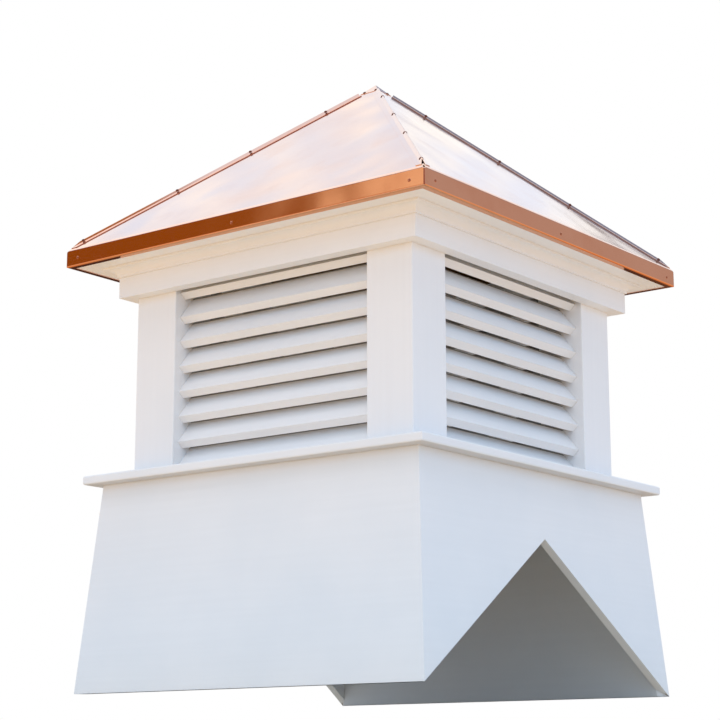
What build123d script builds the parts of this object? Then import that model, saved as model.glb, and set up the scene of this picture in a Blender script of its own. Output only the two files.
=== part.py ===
"""Square cupola: tapered white base with a saddle cut, louvred body, copper pyramid roof.

Millimetres, +Z up. X runs along the ridge of the saddle cut, the front faces -Y.
The origin is the centre of the footprint, on the level of the lowest edge of the base.
"""
import os
from math import atan, cos, radians, sin, sqrt

from build123d import *

# Base: four leaning walls that carry the sill. The side walls are cut to a gable,
# with a rise and run that let the base sit astride a pitched surface.
base_width = 610.0
base_height = 297.0
base_taper = 23.5
base_wall = 13.0
saddle_rise = 8.0
saddle_run = 12.0

# Sill: a flat ring of four mitred boards, wider than the top of the base.
sill_overhang = 21.0
sill_thickness = 13.0
sill_inner_lap = 3.5
sill_edge_radius = 3.0

# Louvred body: four square hollow posts, set back from the edge of the sill.
body_setback = 51.5
body_height = 311.0
post_size = 76.0
post_wall = 12.0
post_edge_radius = 1.5

# Louvre blades: flat boards between the posts, tilted so that rain runs off.
blade_count = 8
blade_thickness = 12.7
blade_board = 43.0
blade_tilt = 50.0
blade_setback = 10.0
blade_foot_gap = 0.3
blade_head_gap = 17.1

# Frieze and crown moulding round the top of the body.
frieze_height = 31.0
frieze_thickness = 20.0
crown_height = 14.0
crown_projection = 18.0
crown_foot_projection = 2.5
crown_foot_height = 3.0
crown_cove_radius = 13.0
crown_lip_height = 3.5
crown_lip_width = 2.5

# Eaves: a flat soffit, with the copper folded down over its edge and back under it.
eave_overhang = 38.0
soffit_thickness = 12.0
soffit_edge_radius = 3.0
fascia_height = 26.0
return_flange = 10.8

# Pyramid roof: copper sheet over plywood boards.
roof_pitch_rise = 10.2
roof_pitch_run = 12.0
copper = 1.0
eave_bend_radius = 5.0
flange_bend_radius = 2.5
corner_bend_radius = 2.4
corner_clip = 4.0
deck_thickness = 12.0
deck_edge_radius = 5.0
deck_corner_clip = 6.0

# Hip caps: copper strips with a raised rib, one along each hip.
hip_flange_reach = 10.0
hip_rib_reach = 3.2
hip_rib_height = 5.5
hip_fold_radius = 1.5
hip_crest_radius = 1.5
hip_seat_gap = 0.1
hip_cap_setback = 3.0

# Apex cap: a small, steeper copper pyramid. The hip caps stop just short of its corners.
apex_cap_width = 34.0
apex_cap_rise = 16.5
apex_cap_gap = 1.5

SIDES = {"front": 0, "right": 90, "back": 180, "left": 270}
CORNERS = {"front_right": 0, "back_right": 90, "back_left": 180, "front_left": 270}

base_top_width = base_width - 2 * base_taper
sill_half = base_top_width / 2 + sill_overhang
body_half = sill_half - body_setback
opening_half = body_half - post_size
frieze_half = body_half + frieze_thickness
brow_half = frieze_half + crown_projection
roof_half = brow_half + eave_overhang
roof_width = 2 * roof_half
soffit_half = roof_half - copper

sill_z = base_height
body_z = sill_z + sill_thickness
soffit_z = body_z + body_height
crown_z = soffit_z - crown_height
frieze_z = crown_z - frieze_height
deck_z = soffit_z + soffit_thickness
fascia_z = soffit_z - copper
eave_z = fascia_z + fascia_height

roof_slope = roof_pitch_rise / roof_pitch_run
roof_pitch = atan(roof_slope)
hip_pitch = atan(roof_slope / sqrt(2))
roof_rise = roof_half * roof_slope
roof_apex_z = eave_z + roof_rise
clear_height = 2 * roof_apex_z


def front_wedge():
    """The quarter of space in front of the two diagonals, where every mitre is cut."""
    reach = roof_width
    triangle = make_face(Polyline((0, 0), (reach, -reach), (-reach, -reach), close=True))
    return extrude(triangle, amount=clear_height)


def mitred_length(profile):
    """A board or moulding along the front, mitred at both ends, from its cross-section."""
    length = extrude(Plane.YZ * profile, amount=roof_width, both=True)
    return length & front_wedge()


def outline(*points):
    """A cross-section through the front side, given as (distance from the axis, height)."""
    return make_face(Polyline(*[(-distance, height) for distance, height in points], close=True))


def board_section(outer, inner, bottom, height):
    """A rectangular cross-section through a level board, between two distances from the axis."""
    return outline((outer, bottom), (outer, bottom + height), (inner, bottom + height), (inner, bottom))


def outer_corners(section):
    """The corners of a cross-section that lie furthest from the axis."""
    return section.vertices().group_by(Axis.X)[0]


def corner_offcut(depth):
    """The space beyond a cut at 45 degrees across the eave corner at the front right."""
    outward = Vector(1, -1, 0).normalized() + Vector(0, 0, 1)
    cut = Plane(origin=(roof_half, -roof_half, eave_z - depth), z_dir=outward)
    return extrude(cut * Rectangle(roof_width, roof_width), amount=roof_width)


def clipped(panel, depth):
    """A front panel of the roof with both eave corners cut off."""
    offcut = corner_offcut(depth)
    return panel - offcut - Rot(0, 0, CORNERS["front_left"]) * offcut


def tapered_block(bottom_width, top_width, height):
    """A square block that narrows evenly towards its top."""
    foot = Rectangle(bottom_width, bottom_width)
    head = Pos(0, 0, height) * Rectangle(top_width, top_width)
    return loft([foot, head])


def saddle_wedge():
    """The gable-shaped space under the base, with its ridge along X."""
    half = base_width / 2
    peak = half * saddle_rise / saddle_run
    triangle = make_face(Polyline((-half, 0), (half, 0), (0, peak), close=True))
    return extrude(Plane.YZ * triangle, amount=roof_width, both=True)


def base_panels():
    """Four leaning walls: front and back whole, left and right with the gable cut out."""
    lean = atan(base_taper / base_height)
    inset = 2 * base_wall / cos(lean)
    shell = tapered_block(base_width, base_top_width, base_height)
    shell -= tapered_block(base_width - inset, base_top_width - inset, base_height)
    wall = shell & front_wedge()
    panels = {side: Rot(0, 0, turn) * wall for side, turn in SIDES.items()}
    for side in ("left", "right"):
        panels[side] -= saddle_wedge()
    return panels


def sill_length():
    """A board from the sill's rounded edge to just inside the posts."""
    section = board_section(sill_half, opening_half - sill_inner_lap, sill_z, sill_thickness)
    return mitred_length(fillet(outer_corners(section), sill_edge_radius))


def corner_post():
    """The post at the front right corner, a square box of boards."""
    centre = body_half - post_size / 2
    square = RectangleRounded(post_size, post_size, post_edge_radius)
    hollow = Rectangle(post_size - 2 * post_wall, post_size - 2 * post_wall)
    return extrude(Pos(centre, -centre, body_z) * (square - hollow), amount=body_height)


def louvre_blades():
    """Tilted blades whose nose is square to their faces, fixed between two posts."""
    tilt = radians(blade_tilt)
    tip = (body_half - blade_setback, blade_thickness * cos(tilt))
    arris = (tip[0] - blade_thickness * sin(tilt), 0.0)
    run = blade_board * cos(tilt)
    rise = blade_board * sin(tilt)
    section = outline(tip, arris, (arris[0] - run, arris[1] + rise), (tip[0] - run, tip[1] + rise))
    blade = extrude(Plane.YZ * section, amount=opening_half, both=True)
    first = body_z + blade_foot_gap
    spacing = (body_height - blade_foot_gap - blade_head_gap) / blade_count
    return Compound([Pos(0, 0, first + row * spacing) * blade for row in range(blade_count)])


def frieze_length():
    """A flat board along the top of the posts."""
    return mitred_length(board_section(frieze_half, body_half, frieze_z, frieze_height))


def crown_length():
    """A cove moulding: small foot, hollow curve, narrow lip under the soffit."""
    foot = frieze_half + crown_foot_projection
    foot_top = crown_z + crown_foot_height
    lip_foot = soffit_z - crown_lip_height
    cove_end = brow_half - crown_lip_width
    cove = RadiusArc((-cove_end, lip_foot), (-foot, foot_top), crown_cove_radius)
    back = Polyline(
        (-cove_end, lip_foot), (-brow_half, lip_foot), (-brow_half, soffit_z),
        (-body_half, soffit_z), (-body_half, crown_z), (-foot, crown_z), (-foot, foot_top),
    )
    return mitred_length(make_face([*cove.edges(), *back.edges()]))


def soffit_length():
    """A board from the copper at the eaves to the inner faces of the posts."""
    section = board_section(soffit_half, opening_half, soffit_z, soffit_thickness)
    low_edge = outer_corners(section).sort_by(Axis.Y)[0]
    return mitred_length(fillet(low_edge, soffit_edge_radius))


def deck_panel():
    """A triangle of roof boards between the soffit and the copper."""
    drop = 1 / cos(roof_pitch)
    top_at_axis = roof_apex_z - copper * drop
    low_at_axis = top_at_axis - deck_thickness * drop
    top_at_edge = top_at_axis - soffit_half * roof_slope
    foot_distance = (low_at_axis - deck_z) / roof_slope
    section = outline(
        (soffit_half, deck_z), (soffit_half, top_at_edge), (0, top_at_axis),
        (0, low_at_axis), (foot_distance, deck_z),
    )
    eave_edge = outer_corners(section).sort_by(Axis.Y)[-1]
    return clipped(mitred_length(fillet(eave_edge, deck_edge_radius)), deck_corner_clip)


def folded_strip(fold_points, fold_radii):
    """The cross-section of a copper sheet folded along the given points, copper on their left."""
    face_line = FilletPolyline(*fold_points, radius=fold_radii)
    return make_face(offset(face_line, amount=copper, side=Side.LEFT, closed=True))


def copper_panel():
    """One roof face, folded down as the fascia and back under the soffit."""
    folds = [
        (0, roof_apex_z), (-roof_half, eave_z),
        (-roof_half, fascia_z), (-roof_half + return_flange, fascia_z),
    ]
    sheet = mitred_length(folded_strip(folds, [eave_bend_radius, flange_bend_radius]))
    plan = RectangleRounded(roof_width, roof_width, corner_bend_radius)
    return clipped(sheet & extrude(plan, amount=clear_height), corner_clip)


def hip_cap():
    """The folded strip over the hip at the front right corner, from the eave to below the apex cap."""
    corner = Vector(roof_half, -roof_half, eave_z)
    hip = Vector(0, 0, roof_apex_z) - corner
    across = Plane(origin=corner, x_dir=(-1, -1, 0), z_dir=hip.normalized())
    fall = sin(roof_pitch) / sqrt(2)
    level = sqrt(1 - fall * fall)
    lift = hip_seat_gap + copper

    def on_slope(reach, side):
        return (side * (reach * level + lift * fall), lift * level - reach * fall)

    folds = [
        on_slope(hip_flange_reach, -1), on_slope(hip_rib_reach, -1), (0, hip_rib_height),
        on_slope(hip_rib_reach, 1), on_slope(hip_flange_reach, 1),
    ]
    radii = [hip_fold_radius, hip_crest_radius, hip_fold_radius]
    face_line = FilletPolyline(*folds, radius=radii)
    section = make_face(offset(face_line, amount=copper, side=Side.RIGHT, closed=True))
    bare_top = (apex_cap_width / sqrt(2) + apex_cap_gap) / cos(hip_pitch)
    strip = extrude(across * section, amount=hip.length - bare_top)
    plan_width = roof_width - 2 * hip_cap_setback
    trimmed = strip & extrude(Rectangle(plan_width, plan_width), amount=clear_height)
    return trimmed - corner_offcut(corner_clip)


def apex_cap():
    """A thin pyramid whose rim rests on the four roof faces."""
    half = apex_cap_width / 2
    rim_z = roof_apex_z - half * roof_slope + copper
    sheet = copper / cos(atan(apex_cap_rise / half))
    cap = pyramid(apex_cap_width, rim_z, apex_cap_rise)
    hollow = pyramid(apex_cap_width, rim_z - sheet, apex_cap_rise)
    roof = pyramid(roof_width, eave_z + hip_seat_gap, roof_rise)
    skirt = extrude(Pos(0, 0, rim_z - copper) * Rectangle(apex_cap_width, apex_cap_width), amount=copper)
    return cap + skirt - hollow - roof


def pyramid(width, foot_z, rise):
    """A square pyramid, made from four half-planes so that its top is a true point."""
    half = width / 2
    gable = make_face(Polyline((-half, foot_z), (half, foot_z), (0, foot_z + rise), close=True))
    along = extrude(Plane.YZ * gable, amount=half, both=True)
    across = extrude(Plane.XZ * gable, amount=half, both=True)
    return along & across


def all_pieces():
    pieces = {f"base_panel_{side}": panel for side, panel in base_panels().items()}
    on_each_side = {
        "sill": sill_length(),
        "louvres": louvre_blades(),
        "frieze": frieze_length(),
        "crown": crown_length(),
        "soffit": soffit_length(),
        "roof_deck": deck_panel(),
        "copper_panel": copper_panel(),
    }
    on_each_corner = {"corner_post": corner_post(), "hip_cap": hip_cap()}
    for name, piece in on_each_side.items():
        for side, turn in SIDES.items():
            pieces[f"{name}_{side}"] = Rot(0, 0, turn) * piece
    for name, piece in on_each_corner.items():
        for corner, turn in CORNERS.items():
            pieces[f"{name}_{corner}"] = Rot(0, 0, turn) * piece
    pieces["apex_cap"] = apex_cap()
    return pieces


os.makedirs("parts", exist_ok=True)
for node, shape in all_pieces().items():
    export_step(shape, f"parts/{node}.step")
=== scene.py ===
# The looks of a square cupola: white board, bright copper sheet, pop rivets.
# Metres, in the frame of the solids: X to the right, -Y to the front, Z up.
import math

import bmesh
import bpy
from mathutils import Matrix, Vector


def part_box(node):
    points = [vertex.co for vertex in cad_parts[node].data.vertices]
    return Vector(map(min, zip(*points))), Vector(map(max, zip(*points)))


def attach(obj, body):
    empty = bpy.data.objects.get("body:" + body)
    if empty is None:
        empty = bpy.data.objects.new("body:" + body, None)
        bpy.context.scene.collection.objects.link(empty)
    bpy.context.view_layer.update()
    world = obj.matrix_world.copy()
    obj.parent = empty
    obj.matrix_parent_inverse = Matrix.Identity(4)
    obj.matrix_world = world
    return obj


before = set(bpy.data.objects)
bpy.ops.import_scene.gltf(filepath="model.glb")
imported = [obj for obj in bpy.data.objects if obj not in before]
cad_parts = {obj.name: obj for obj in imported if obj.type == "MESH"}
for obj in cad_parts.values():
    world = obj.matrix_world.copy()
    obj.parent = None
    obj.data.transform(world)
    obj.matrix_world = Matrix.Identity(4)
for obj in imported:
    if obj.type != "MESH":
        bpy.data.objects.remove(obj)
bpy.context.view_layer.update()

SIDES = {"front": 0, "right": 90, "back": 180, "left": 270}
CORNERS = {"front_right": 0, "back_right": 90, "back_left": 180, "front_left": 270}

# Sizes of the roof that the rivets sit on, read off the solids where a box gives them.
ROOF_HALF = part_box("copper_panel_front")[1].x
FASCIA_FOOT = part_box("copper_panel_front")[0].z
FASCIA_HEIGHT = 0.026
ROOF_SLOPE = 10.2 / 12
APEX = FASCIA_FOOT + FASCIA_HEIGHT + ROOF_HALF * ROOF_SLOPE
CAP_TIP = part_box("apex_cap")[1].z
CAP_SLOPE = 16.5 / 17.0

# Painted shade on the blades, the dark line under each nose, starts this far behind the nose, and
# its edge is this sharp.
SHADE_LINE_BEYOND = 0.0258
SHADE_LINE_EDGE = 0.0003

# Pop rivets, from a catalogue's 3.2 mm size: a low dome with the sunk end of its mandrel.
# The hips and the apex cap take the next smaller size, here as a share of the fascia's.
HEAD_RADIUS = 0.0030
HEAD_HEIGHT = 0.0013
HEAD_SINK = 0.0004
MANDREL_RADIUS = 0.0010
HIP_HEAD = 0.85

# Rivets are set by eye, so no two are spaced quite alike. On a fascia: along it and off its line.
FASCIA_RIVETS = ((-0.303, 0.001), (-0.001, -0.001), (0.303, 0.0))
FASCIA_RIVET_HEIGHT = 0.011
HIP_RIVETS = (0.054, 0.135, 0.212, 0.309)  # From the apex, measured level along X.
APEX_RIVETS = ((-0.011, -0.0145), (0.011, -0.0145))  # X and Y on the front of the apex cap.

# A seat half-way up the rib's slope, and the way that slope faces: out from the hip, up from it.
RIB_SEAT = (0.0016, 0.0026)
RIB_FACES = (0.873, 0.488)

# The photograph's viewpoint, as angles in degrees and places in metres.
VIEW_AZIMUTH, VIEW_PITCH, VIEW_ROLL = 37.87, 12.39, -0.04
VIEW_DISTANCE, VIEW_ASIDE, VIEW_HEIGHT = 2.7434, -0.0246, -0.1094
SENSOR_MM, LENS_MM = 36.0, 94.1

FLOOR_RADIUS = 0.95
BOARD_LIGHT = 1.42  # Pale boards come out about as pale as they are written.
MIRROR_LIGHT = 1.3
SOFTBOX_WIDTH, SOFTBOX_WATTS = 1.6, 20
SOFTBOX_PLACE, SOFTBOX_AIM = (1.35, -2.34, 3.67), (0, 0, 0.45)


def hex_to_linear(code):
    """An sRGB hex colour as the linear colour that a shader takes."""
    channels = [int(code[i:i + 2], 16) / 255 for i in (1, 3, 5)]
    linear = [c / 12.92 if c <= 0.04045 else ((c + 0.055) / 1.055) ** 2.4 for c in channels]
    return (*linear, 1.0)


def add_node(tree, kind, inputs=None, **settings):
    """Adds a shader node, sets its properties, and sets or links each of its inputs.

    An input is a number, a hex colour, a socket, or a node, which gives its first output.
    """
    made = tree.nodes.new("ShaderNode" + kind)
    for name, value in settings.items():
        setattr(made, name, value)
    for socket, value in (inputs or {}).items():
        if isinstance(value, bpy.types.Node):
            value = value.outputs[0]
        elif isinstance(value, str):
            value = hex_to_linear(value)
        if isinstance(value, bpy.types.NodeSocket):
            tree.links.new(value, made.inputs[socket])
        else:
            made.inputs[socket].default_value = value
    return made


def new_material(name):
    """An empty material, its nodes, and the coordinates of the piece that wears it."""
    material = bpy.data.materials.new(name)
    material.use_nodes = True
    tree = material.node_tree
    tree.nodes.clear()
    return material, tree, add_node(tree, "TexCoord").outputs["Object"]


def give_surface(tree, finish):
    """Ends a material with the shader that takes these inputs."""
    shader = add_node(tree, "BsdfPrincipled", finish)
    add_node(tree, "OutputMaterial", {"Surface": shader})


def patches(tree, place, size_mm, detail=3.0, stretch=(1, 1, 1), low=0.35, high=0.65):
    """Soft noise of a real size, 0 to 1. Stretch above 1 draws it out along that axis."""
    scale = tuple(1000 / (size_mm * s) for s in stretch)
    scaled = add_node(tree, "Mapping", {"Vector": place, "Scale": scale})
    noise = add_node(tree, "TexNoise", {"Vector": scaled, "Scale": 1.0, "Detail": detail})
    return add_node(tree, "MapRange", {"Value": noise, "From Min": low, "From Max": high})


def lay_over(tree, under, colour, pattern, start=0.0, end=1.0, strength=1.0, smooth=False):
    """Lays a colour over what is under it, where a pattern says so.

    None of it shows at the pattern's start value, and its full strength at the end value.
    """
    share = add_node(tree, "MapRange", {
        "Value": pattern, "From Min": start, "From Max": end, "To Max": strength,
    }, interpolation_type="SMOOTHSTEP" if smooth else "LINEAR")
    mix = add_node(tree, "Mix", {0: share, 6: under, 7: colour}, data_type="RGBA")
    return mix.outputs[2]


def facing_up(tree):
    """How far a face is turned up: 1 for a level top, 0 for a wall, -1 for an underside."""
    normal = add_node(tree, "NewGeometry").outputs["Normal"]
    return add_node(tree, "SeparateXYZ", {"Vector": normal}).outputs["Z"]


def shade_line_under_noses(tree, place, skin, across, within):
    """A painted shade: a dark colour over all that lies within a distance of the axis.

    It draws the dark line under the nose of each blade, where the gap between the blades is in
    shade.
    """
    apart = add_node(tree, "SeparateXYZ", {"Vector": place}).outputs[across]
    distance = add_node(tree, "Math", {0: apart}, operation="ABSOLUTE")
    # Painted shade, dark grey-brown.
    return lay_over(tree, skin, "#5A5048", distance, within + SHADE_LINE_EDGE, within - SHADE_LINE_EDGE,
                    strength=0.72)


def trim_board(name, along, shade_reach=0.007, shaded_below=False, shade_line_within=None):
    """Cellular PVC trim board, extruded and left in its satin skin.

    The skin is an even off-white with a slow mottle, faint lines along the board from the
    die, and a little dust on its level faces. Its inside corners are darkened grey-brown from
    ambient occlusion, a painted shade.
    A fine orange peel softens the highlights. The sill's underside is darkened too, a painted
    shade.
    """
    material, tree, place = new_material(name)
    drawn = tuple(40 if axis == along else 1 for axis in "XYZ")
    mottle = patches(tree, place, 150)
    die_lines = patches(tree, place, 6, stretch=drawn, low=0.3, high=0.7)
    peel = patches(tree, place, 1.6, detail=1.0)
    upward = facing_up(tree)
    level = add_node(tree, "MapRange", {"Value": upward, "From Min": 0.6, "From Max": 1.0})
    dust = add_node(tree, "Math", {0: level, 1: patches(tree, place, 14)}, operation="MULTIPLY")
    # Ambient occlusion, which drives the painted shade in the inside corners.
    corner_shade = add_node(tree, "AmbientOcclusion", {"Distance": shade_reach}, samples=8)

    skin = lay_over(tree, "#F7F6F4", "#F2F2F1", mottle)
    skin = lay_over(tree, skin, "#EAE9E7", die_lines, strength=0.15)
    skin = lay_over(tree, skin, "#C9C2B6", dust, strength=0.16)
    # Painted shade: grey-brown darkening in the inside corners, where little light reaches.
    skin = lay_over(tree, skin, "#8A7A6C", corner_shade.outputs["AO"], 0.55, 0.2, strength=0.75)
    if shaded_below:
        # Painted shade: faces turned down are darkened, as if shaded from below.
        skin = lay_over(tree, skin, "#8F8072", upward, -0.5, -0.9, strength=0.35)
    # Painted shade: the dark line in the gap under each blade's nose.
    if shade_line_within:
        across = "Y" if along == "X" else "X"
        skin = shade_line_under_noses(tree, place, skin, across, shade_line_within)

    shallow_peel = add_node(tree, "Math", {0: peel, 1: 0.6}, operation="MULTIPLY")
    relief = add_node(tree, "Math", {0: shallow_peel, 1: die_lines}, operation="ADD")
    give_surface(tree, {
        "Base Color": skin,
        "Roughness": add_node(tree, "MapRange", {"Value": mottle, "To Min": 0.4, "To Max": 0.5}),
        "Normal": add_node(tree, "Bump", {"Height": relief, "Strength": 0.08, "Distance": 0.0003}),
        "IOR": 1.49,
    })
    return material


def bright_copper(name, light="#FBD5C5", dark="#EDB398", waves=0.3, roughness=(0.07, 0.15)):
    """Cold-rolled copper sheet, new and bright, with the first handling stains.

    It mirrors softly what is round it. The sheet is never quite flat, so the mirror image
    wanders, and stains of a hand's width dull it and turn it a little darker. Faces turned
    down are darker and browner. The rolling grain is finer than
    0.1 mm, and is drawn at 0.8 mm so that it still softens the light.
    """
    material, tree, place = new_material(name)
    cloud = patches(tree, place, 160, detail=2.0, low=0.3, high=0.7)
    stain = patches(tree, place, 60, detail=3.0, low=0.5, high=0.8)
    swell = patches(tree, place, 140, detail=1.0, low=0.2, high=0.8)
    grain = patches(tree, place, 0.8, detail=1.0)

    colour = lay_over(tree, light, dark, cloud, strength=0.35)
    colour = lay_over(tree, colour, dark, stain, strength=0.4)
    # Faces turned down are darker and browner.
    colour = lay_over(tree, colour, "#D48B50", facing_up(tree), -0.5, -0.9)
    dull = add_node(tree, "Math", {0: cloud, 1: stain}, operation="ADD")
    sheet = add_node(tree, "Bump", {"Height": swell, "Strength": waves, "Distance": 0.004})
    give_surface(tree, {
        "Base Color": colour,
        "Metallic": 1.0,
        "Roughness": add_node(tree, "MapRange", {
            "Value": dull, "From Max": 2.0, "To Min": roughness[0], "To Max": roughness[1],
        }),
        "Normal": add_node(tree, "Bump", {
            "Height": grain, "Strength": 0.03, "Distance": 0.0001, "Normal": sheet,
        }),
    })
    return material


def roof_plywood():
    """Softwood plywood, bare and dusty, seen only from inside: drawn-out grain and dull."""
    material, tree, place = new_material("bare_roof_plywood")
    grain = patches(tree, place, 6, detail=4.0, stretch=(30, 1, 1))
    colour = lay_over(tree, "#B08A5C", "#8A653E", grain)
    colour = lay_over(tree, colour, "#A58F74", patches(tree, place, 90), strength=0.4)
    give_surface(tree, {
        "Base Color": colour,
        "Roughness": 0.75,
        "Normal": add_node(tree, "Bump", {"Height": grain, "Strength": 0.3, "Distance": 0.0004}),
    })
    return material


def cover(node, material):
    """Gives a solid its finish."""
    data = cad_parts[node].data
    data.materials.clear()
    data.materials.append(material)


def finish_boards_and_sheets():
    """Each board's lines run along its own length, so there is one material for each run."""
    blade_tip = abs(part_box("louvres_front")[0].y)
    boards, sills, blades = {}, {}, {}
    for axis in "XYZ":
        boards[axis] = trim_board(f"pvc_trim_board_{axis.lower()}", axis)
    for axis in "XY":
        # The sills carry painted shade on their undersides.
        sills[axis] = trim_board(f"pvc_sill_{axis.lower()}", axis, shaded_below=True)
        # The blades get less painted corner shade, and a painted shade line under each nose.
        blades[axis] = trim_board(f"pvc_blade_{axis.lower()}", axis, shade_reach=0.003,
                                  shade_line_within=blade_tip - SHADE_LINE_BEYOND)
    sheet = bright_copper("bright_copper_sheet")
    strip = bright_copper("bright_copper_strip", waves=0.1)
    plywood = roof_plywood()
    for side in SIDES:
        run = "X" if side in ("front", "back") else "Y"
        for stem in ("base_panel", "frieze", "crown", "soffit"):
            cover(f"{stem}_{side}", boards[run])
        cover(f"sill_{side}", sills[run])
        cover(f"louvres_{side}", blades[run])
        cover(f"copper_panel_{side}", sheet)
        cover(f"roof_deck_{side}", plywood)
    for corner in CORNERS:
        cover(f"corner_post_{corner}", boards["Z"])
        cover(f"hip_cap_{corner}", strip)
    cover("apex_cap", strip)


def rivet_profile():
    """Half of a rivet head's section, as (radius, height), from its rim to its middle."""
    dome = [
        (HEAD_RADIUS * math.cos(math.radians(a)), HEAD_HEIGHT * math.sin(math.radians(a)))
        for a in (0, 20, 40, 58, 70)
    ]
    hollow = HEAD_HEIGHT * 0.72
    return [
        (HEAD_RADIUS, -HEAD_SINK), *dome, (MANDREL_RADIUS, hollow), (MANDREL_RADIUS * 0.4, hollow),
    ]


def add_rivet(mesh, foot, outward, share, facets=18):
    """Turns the profile, at a share of its size, about the outward line and adds it to a mesh."""
    turn = outward.to_track_quat("Z", "Y").to_matrix().to_4x4()
    place = Matrix.Translation(foot) @ turn @ Matrix.Scale(share, 4)
    rings = []
    for radius, height in rivet_profile():
        rings.append([
            mesh.verts.new(place @ Vector((
                radius * math.cos(2 * math.pi * k / facets),
                radius * math.sin(2 * math.pi * k / facets),
                height,
            )))
            for k in range(facets)
        ])
    for low, high in zip(rings, rings[1:]):
        for k in range(facets):
            mesh.faces.new((low[k], low[(k + 1) % facets], high[(k + 1) % facets], high[k]))
    mesh.faces.new(rings[-1])
    mesh.faces.new(rings[0][::-1])


def rivet_row(name, seats, material, share=1.0):
    """One piece of rivets, each at a foot point and along an outward direction."""
    mesh = bmesh.new()
    for foot, outward in seats:
        add_rivet(mesh, Vector(foot), Vector(outward).normalized(), share)
    data = bpy.data.meshes.new(name)
    mesh.to_mesh(data)
    mesh.free()
    data.materials.append(material)
    for face in data.polygons:
        face.use_smooth = True
    row = bpy.data.objects.new(name, data)
    bpy.context.scene.collection.objects.link(row)
    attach(row, "root")


def turned(degrees, points):
    """Seats on the front side, turned about the upright axis to another side."""
    turn = Matrix.Rotation(math.radians(degrees), 3, "Z")
    return [(turn @ Vector(foot), turn @ Vector(outward)) for foot, outward in points]


def rib_seat(reach, side):
    """A seat high on the rib over the front right hip, on its front (-1) or right (1) slope."""
    uphill = Vector((-1, 1, ROOF_SLOPE)).normalized()
    across = Vector((side, side, 0)).normalized()
    above = uphill.cross(across)
    above *= math.copysign(1, above.z)
    on_hip = Vector((reach, -reach, APEX - reach * ROOF_SLOPE))
    seat = on_hip + across * RIB_SEAT[0] + above * RIB_SEAT[1]
    return seat, across * RIB_FACES[0] + above * RIB_FACES[1]


def cap_seat(x, y):
    """A seat on the front face of the apex cap."""
    return (x, y, CAP_TIP + y * CAP_SLOPE), (0, -CAP_SLOPE, 1)


def pop_rivets():
    """Three rivets on each fascia, four on each slope of every rib, two by each apex corner.

    Those of the fascia are stained as the sheet is. The small ones up the hips went brown.
    """
    stained = bright_copper("stained_copper_rivets", light="#C98A70", dark="#9A5A42",
                            waves=0.0, roughness=(0.15, 0.3))
    brown = bright_copper("browned_copper_rivets", light="#7A4636", dark="#54291C",
                          waves=0.0, roughness=(0.4, 0.55))
    middle = FASCIA_FOOT + FASCIA_RIVET_HEIGHT
    fascia = [((x, -ROOF_HALF, middle + lift), (0, -1, 0)) for x, lift in FASCIA_RIVETS]
    hip = [rib_seat(reach, side) for side in (-1, 1) for reach in HIP_RIVETS]
    apex = [cap_seat(x, y) for x, y in APEX_RIVETS]
    for side, degrees in SIDES.items():
        rivet_row(f"fascia_rivets_{side}", turned(degrees, fascia), stained)
        rivet_row(f"apex_rivets_{side}", turned(degrees, apex), brown, HIP_HEAD)
    for corner, degrees in CORNERS.items():
        rivet_row(f"hip_rivets_{corner}", turned(degrees, hip), brown, HIP_HEAD)


def look_up_at(camera_name):
    """The photograph's viewpoint: below the sill, the front right corner towards it."""
    azimuth, pitch, roll = (math.radians(v) for v in (VIEW_AZIMUTH, VIEW_PITCH, VIEW_ROLL))
    away = Vector((math.sin(azimuth), -math.cos(azimuth), 0))
    across = Vector((math.cos(azimuth), math.sin(azimuth), 0))
    centre = away * VIEW_DISTANCE + across * VIEW_ASIDE + Vector((0, 0, VIEW_HEIGHT))
    forward = -away * math.cos(pitch) + Vector((0, 0, math.sin(pitch)))
    data = bpy.data.cameras.new(camera_name)
    data.sensor_width = SENSOR_MM
    data.lens = LENS_MM
    data.clip_start = 0.05
    camera = bpy.data.objects.new(camera_name, data)
    bpy.context.scene.collection.objects.link(camera)
    turn = Matrix((across, across.cross(forward), -forward)).transposed().to_4x4()
    camera.matrix_world = Matrix.Translation(centre) @ turn @ Matrix.Rotation(roll, 4, "Z")
    bpy.context.scene.camera = camera


def pale_floor():
    """A plain round plinth top. From below it is clear, so the low camera sees past it."""
    mesh = bmesh.new()
    bmesh.ops.create_circle(mesh, cap_ends=True, radius=FLOOR_RADIUS, segments=96)
    data = bpy.data.meshes.new("floor")
    mesh.to_mesh(data)
    mesh.free()
    floor = bpy.data.objects.new("floor", data)
    bpy.context.scene.collection.objects.link(floor)
    material, tree, place = new_material("pale_studio_floor")
    paint = lay_over(tree, "#F3E2C9", "#F0DEC4", patches(tree, place, 400))
    top = add_node(tree, "BsdfPrincipled", {"Base Color": paint, "Roughness": 0.9})
    below = add_node(tree, "NewGeometry").outputs["Backfacing"]
    clear = add_node(tree, "BsdfTransparent")
    either = add_node(tree, "MixShader", {0: below, 1: top, 2: clear})
    add_node(tree, "OutputMaterial", {"Surface": either})
    data.materials.append(material)


def spot(tree, direction, where, under, colour):
    """Lays a soft round spot of colour over a part of what is round the cupola.

    Where is its heading, its elevation, and how far from its middle it is whole and gone,
    all in degrees. A heading of 0 is to the right, and 270 is to the front.
    """
    heading, elevation, whole, gone = (math.radians(v) for v in where)
    level = math.cos(elevation)
    middle = (level * math.cos(heading), level * math.sin(heading), math.sin(elevation))
    closeness = add_node(tree, "VectorMath", {0: direction, 1: middle}, operation="DOT_PRODUCT")
    return lay_over(tree, under, colour, closeness.outputs["Value"],
                    math.cos(gone), math.cos(whole), smooth=True)


def light_on_boards(tree, direction, height):
    """Blue light low down and from the right, greyer from above, and warm from below."""
    warm = spot(tree, direction, (20, 0, 40, 110), "#EEC082", "#D9BEA2")
    blue = spot(tree, direction, (10, 15, 30, 80), "#C6DBF3", "#B9D9FD")
    upper = lay_over(tree, blue, "#AFB9CA", height, 0.4, 0.65, smooth=True)
    return lay_over(tree, warm, upper, height, -0.2, 0.0, smooth=True)


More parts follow.
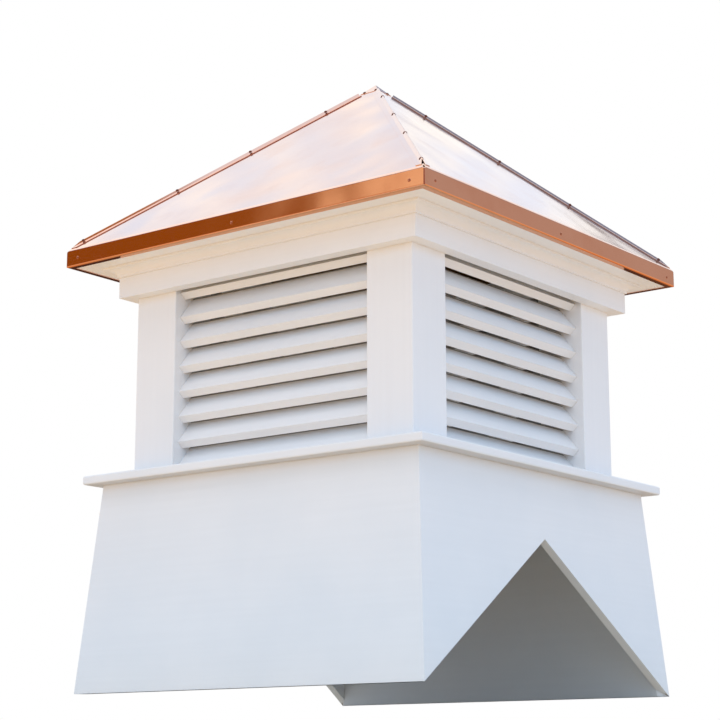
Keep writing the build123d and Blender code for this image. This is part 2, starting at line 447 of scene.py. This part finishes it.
def mirrored_streaks(tree, direction):
    """The upper part of the mirror image: pale streaks, with a tone for each sloping face."""
    streaks = patches(tree, direction, 45, detail=3.0, low=0.38, high=0.62)
    front_slope = lay_over(tree, "#CFE4FB", "#F6FAF2", streaks)
    tones = (
        ((147, 43, 8, 22), front_slope),
        ((275, 68, 12, 26), "#D1DCEB"),  # Upper part of the left hip.
        ((255, 55, 9.2, 11.5), "#97673C"),  # Foot of the left hip.
        ((34, 57, 12, 18), "#788FAE"),  # Right hip.
        ((116.5, 35, 2, 4.5), "#8E97AC"),  # Right face of the apex cap.
        ((192, 48, 10, 24), "#FFFFFF"),  # Bend of the left eave.
    )
    image = lay_over(tree, "#D2E2F6", "#EFF5F2", streaks)
    for where, tone in tones:
        image = spot(tree, direction, where, image, tone)
    return image


def mirrored_band(tree, direction, height):
    """The low band of the mirror image, which the fascias pick up.

    It is dark brown far to the left, sunlit to the left of the front, and dark again round
    the viewpoint, where the rounded corners of the eaves pick it up.
    """
    band = spot(tree, direction, (215, 16, 22, 34), "#A28A7C", "#7F4404")
    band = spot(tree, direction, (250, 16, 18.2, 18.8), band, "#D6AE84")
    band = spot(tree, direction, (312, 10, 26, 36), band, "#7C3A22")
    rim = spot(tree, direction, (225, 20, 30, 40), "#7A7275", "#6A3A24")
    return lay_over(tree, band, rim, height, 0.34, 0.38, smooth=True)


def seen_in_copper(tree, direction, height):
    """What the sheet mirrors: a warm lower half, a brown band, and pale streaks over it."""
    lower = spot(tree, direction, (325, -30, 38, 55), "#CF9A6C", "#94786C")
    lower = spot(tree, direction, (130, -15, 9, 18), lower, "#4A3732")  # Under the eaves.
    lower = spot(tree, direction, (294, -30, 14, 22), lower, "#747A84")  # Edge of the right hip.
    band = mirrored_band(tree, direction, height)
    streaks = mirrored_streaks(tree, direction)
    upper = lay_over(tree, band, streaks, height, 0.42, 0.436, smooth=True)
    return lay_over(tree, lower, upper, height, -0.1, 0.0, smooth=True)


def light_all_round():
    """Lights the boards and fills the copper's mirror. The camera sees it as plain white.

    Heights are sines of the elevation.
    """
    world = bpy.data.worlds.new("light_all_round")
    bpy.context.scene.world = world
    world.use_nodes = True
    tree = world.node_tree
    tree.nodes.clear()
    direction = add_node(tree, "TexCoord").outputs["Generated"]
    height = add_node(tree, "SeparateXYZ", {"Vector": direction}).outputs["Z"]
    lit_by = light_on_boards(tree, direction, height)
    mirrored = seen_in_copper(tree, direction, height)
    paths = add_node(tree, "LightPath").outputs
    lights = add_node(tree, "Background", {"Color": lit_by, "Strength": BOARD_LIGHT})
    mirror = add_node(tree, "Background", {"Color": mirrored, "Strength": MIRROR_LIGHT})
    white = add_node(tree, "Background", {"Color": "#FFFFFF", "Strength": 1.0})
    inner = add_node(tree, "MixShader", {0: paths["Is Glossy Ray"], 1: lights, 2: mirror})
    outer = add_node(tree, "MixShader", {0: paths["Is Camera Ray"], 1: inner, 2: white})
    add_node(tree, "OutputWorld", {"Surface": outer})


def high_softbox():
    """One weak soft lamp, high behind the camera, for the shadow on the floor."""
    data = bpy.data.lights.new("high_softbox", "AREA")
    data.shape = "SQUARE"
    data.size = SOFTBOX_WIDTH
    data.energy = SOFTBOX_WATTS
    data.color = hex_to_linear("#FFF4EA")[:3]
    lamp = bpy.data.objects.new("high_softbox", data)
    bpy.context.scene.collection.objects.link(lamp)
    lamp.location = SOFTBOX_PLACE
    aim = Vector(SOFTBOX_AIM) - lamp.location
    lamp.rotation_euler = aim.to_track_quat("-Z", "Y").to_euler()


finish_boards_and_sheets()
pop_rivets()
look_up_at("photo_camera")
pale_floor()
light_all_round()
high_softbox()
bpy.context.scene.view_settings.view_transform = "Standard"
